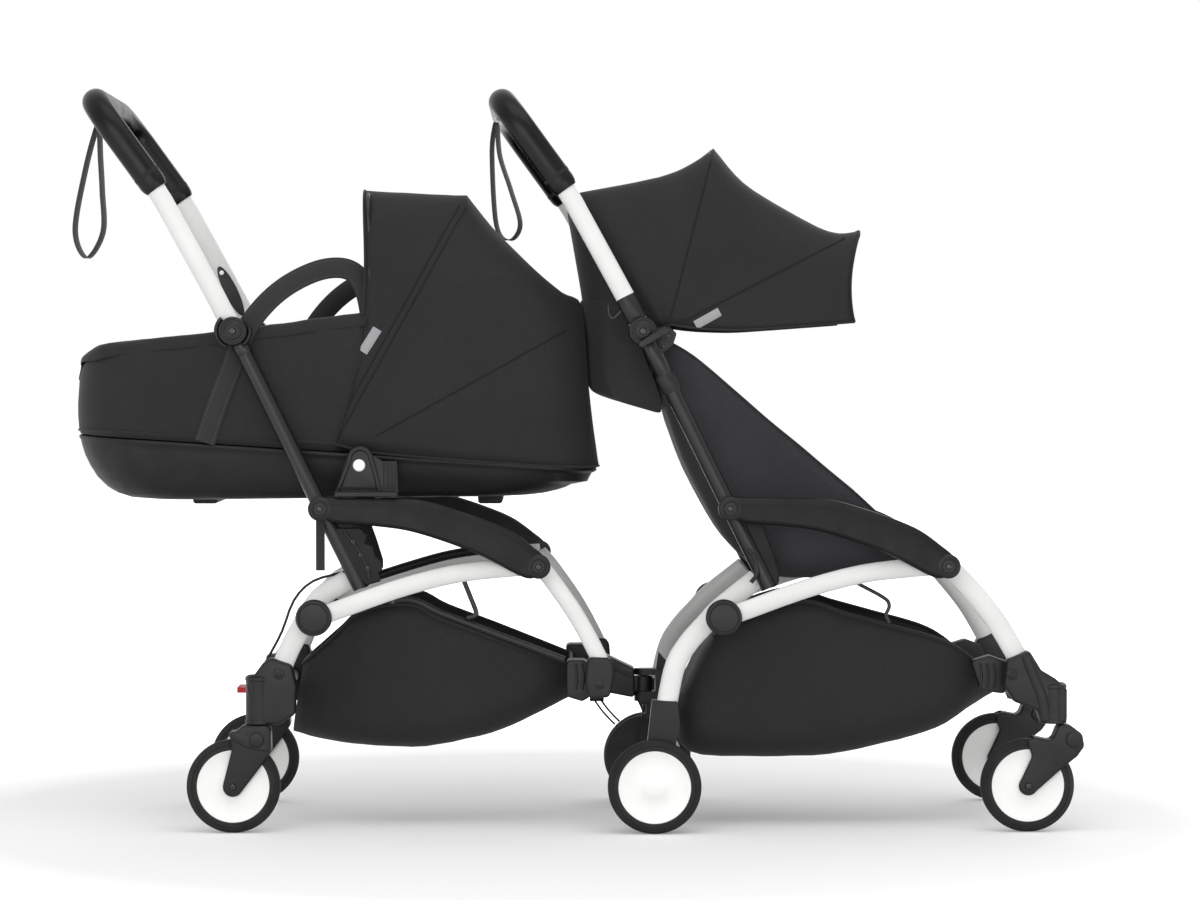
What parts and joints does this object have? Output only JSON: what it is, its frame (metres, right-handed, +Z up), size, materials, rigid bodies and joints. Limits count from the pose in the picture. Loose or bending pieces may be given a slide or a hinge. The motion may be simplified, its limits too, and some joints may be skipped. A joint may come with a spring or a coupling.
{
  "type": "pushchair",
  "caption": "Tandem folding pushchair: a chassis with a sling seat and canopy, and a hooded carrycot on a second chassis hitched behind it.",
  "frame": {"origin": "On the floor, under the middle of the whole pushchair", "axes": "+X forward, the way it is pushed; +Y to its left; +Z up"},
  "size_m": [1.4261, 0.448, 1.0367],
  "materials": {
    "white_powder_coat": "satin",
    "black_powder_coat": "satin",
    "black_plastic": "satin",
    "white_plastic": "satin",
    "red_plastic": "satin",
    "grip_foam": "matte",
    "black_fabric": "matte",
    "grey_fabric": "matte",
    "black_webbing": "matte",
    "tyre": "matte",
    "zinc_steel": "satin"
  },
  "bodies": {
    "seat_chassis": {"seat_fold_lock_right": "black_plastic", "seat_fold_lock_left": "black_plastic", "seat_back_tube_right": "black_powder_coat", "seat_back_tube_left": "black_powder_coat", "seat_armrest_right": "black_plastic", "seat_armrest_left": "black_plastic", "seat_side_rail_right": "white_powder_coat", "seat_side_rail_left": "white_powder_coat", "seat_hind_leg_right": "white_powder_coat", "seat_hind_leg_left": "white_powder_coat", "seat_fore_leg_right": "white_powder_coat", "seat_fore_leg_left": "white_powder_coat", "seat_basket": "black_fabric", "seat_front_crossmember": "black_plastic", "seat_rear_axle_beam": "black_plastic", "seat_sling": "black_fabric", "seat_front_roll": "black_fabric", "seat_rear_pocket": "black_fabric", "canopy_fabric": "black_fabric"},
    "seat_handle": {"seat_handlebar": "white_powder_coat", "seat_grip": "grip_foam", "seat_wrist_strap": "black_webbing"},
    "canopy": {"canopy_front_bow": "black_powder_coat"},
    "cot_chassis": {"cot_fold_lock_right": "black_plastic", "cot_fold_lock_left": "black_plastic", "cot_back_tube_right": "black_powder_coat", "cot_back_tube_left": "black_powder_coat", "cot_armrest_right": "black_plastic", "cot_armrest_left": "black_plastic", "cot_side_rail_right": "white_powder_coat", "cot_side_rail_left": "white_powder_coat", "cot_hind_leg_right": "white_powder_coat", "cot_hind_leg_left": "white_powder_coat", "cot_fore_leg_right": "white_powder_coat", "cot_fore_leg_left": "white_powder_coat", "cot_basket": "black_fabric", "cot_rear_crossmember": "black_plastic", "hitch_beam": "black_plastic", "carrycot_cradle": "black_plastic", "brake_cable_pair": "black_plastic", "brake_cable_loop": "black_plastic"},
    "cot_handle": {"cot_handlebar": "white_powder_coat", "cot_grip": "grip_foam", "cot_wrist_strap": "black_webbing"},
    "brake": {"brake_pedal": "red_plastic"},
    "carrycot": {"carrycot_tub": "black_plastic", "carrycot_body": "black_fabric", "carrycot_apron": "black_fabric", "carrycot_hood": "black_fabric"},
    "hood": {"hood_front_bow": "black_powder_coat"},
    "seat_caster_right": {"seat_caster_fork_right": "black_plastic"},
    "seat_caster_roller_right": {"seat_caster_wheel_right": "tyre"},
    "seat_caster_left": {"seat_caster_fork_left": "black_plastic"},
    "seat_caster_roller_left": {"seat_caster_wheel_left": "tyre"},
    "cot_caster_right": {"cot_caster_fork_right": "black_plastic"},
    "cot_caster_roller_right": {"cot_caster_wheel_right": "tyre"},
    "cot_caster_left": {"cot_caster_fork_left": "black_plastic"},
    "cot_caster_roller_left": {"cot_caster_wheel_left": "tyre"},
    "seat_rear_roller_right": {"seat_rear_wheel_right": "tyre"},
    "seat_rear_roller_left": {"seat_rear_wheel_left": "tyre"}
  },
  "joints": [
    {"name": "hitch_yaw", "type": "hinge", "parent": "seat_chassis", "child": "cot_chassis", "pos_m": [0.104, 0, 0.192], "axis": [0, 0, 1], "range_deg": [-8, 8], "deforming": ["brake_cable_pair"]},
    {"name": "seat_handle_fold", "type": "hinge", "parent": "seat_chassis", "child": "seat_handle", "pos_m": [0.099, 0, 0.697], "axis": [0, 1, 0], "range_deg": [0, 143], "deforming": ["seat_wrist_strap"]},
    {"name": "cot_handle_fold", "type": "hinge", "parent": "cot_chassis", "child": "cot_handle", "pos_m": [-0.469, 0, 0.697], "axis": [0, 1, 0], "range_deg": [0, 75], "deforming": ["cot_wrist_strap"]},
    {"name": "canopy_fold", "type": "hinge", "parent": "seat_chassis", "child": "canopy", "pos_m": [0.123, 0, 0.692], "axis": [0, 1, 0], "range_deg": [-80, 0], "deforming": ["canopy_fabric"]},
    {"name": "hood_fold", "type": "hinge", "parent": "carrycot", "child": "hood", "pos_m": [-0.349, 0, 0.518], "axis": [0, 1, 0], "range_deg": [0, 60], "deforming": ["carrycot_hood"]},
    {"name": "carrycot_lift", "type": "slide", "parent": "cot_chassis", "child": "carrycot", "axis": [-0.25, 0, 0.9682], "range_m": [0, 0.1], "deforming": ["seat_wrist_strap"]},
    {"name": "brake_press", "type": "hinge", "parent": "cot_chassis", "child": "brake", "pos_m": [-0.415, 0, 0.19], "axis": [0, 1, 0], "range_deg": [-18, 0]},
    {"name": "seat_swivel_right", "type": "hinge", "parent": "seat_chassis", "child": "seat_caster_right", "pos_m": [0.671, -0.19, 0.15], "axis": [0, 0, 1], "continuous": true},
    {"name": "seat_spin_right", "type": "hinge", "parent": "seat_caster_right", "child": "seat_caster_roller_right", "pos_m": [0.635, -0.19, 0.065], "axis": [0, 1, 0], "continuous": true},
    {"name": "seat_swivel_left", "type": "hinge", "parent": "seat_chassis", "child": "seat_caster_left", "pos_m": [0.671, 0.19, 0.15], "axis": [0, 0, 1], "continuous": true},
    {"name": "seat_spin_left", "type": "hinge", "parent": "seat_caster_left", "child": "seat_caster_roller_left", "pos_m": [0.635, 0.19, 0.065], "axis": [0, 1, 0], "continuous": true},
    {"name": "cot_swivel_right", "type": "hinge", "parent": "cot_chassis", "child": "cot_caster_right", "pos_m": [-0.435, -0.19, 0.15], "axis": [0, 0, 1], "continuous": true},
    {"name": "cot_spin_right", "type": "hinge", "parent": "cot_caster_right", "child": "cot_caster_roller_right", "pos_m": [-0.47, -0.19, 0.065], "axis": [0, 1, 0], "continuous": true},
    {"name": "cot_swivel_left", "type": "hinge", "parent": "cot_chassis", "child": "cot_caster_left", "pos_m": [-0.435, 0.19, 0.15], "axis": [0, 0, 1], "continuous": true},
    {"name": "cot_spin_left", "type": "hinge", "parent": "cot_caster_left", "child": "cot_caster_roller_left", "pos_m": [-0.47, 0.19, 0.065], "axis": [0, 1, 0], "continuous": true},
    {"name": "seat_rear_spin_right", "type": "hinge", "parent": "seat_chassis", "child": "seat_rear_roller_right", "pos_m": [0.115, -0.211, 0.065], "axis": [0, 1, 0], "continuous": true},
    {"name": "seat_rear_spin_left", "type": "hinge", "parent": "seat_chassis", "child": "seat_rear_roller_left", "pos_m": [0.115, 0.211, 0.065], "axis": [0, 1, 0], "continuous": true}
  ]
}
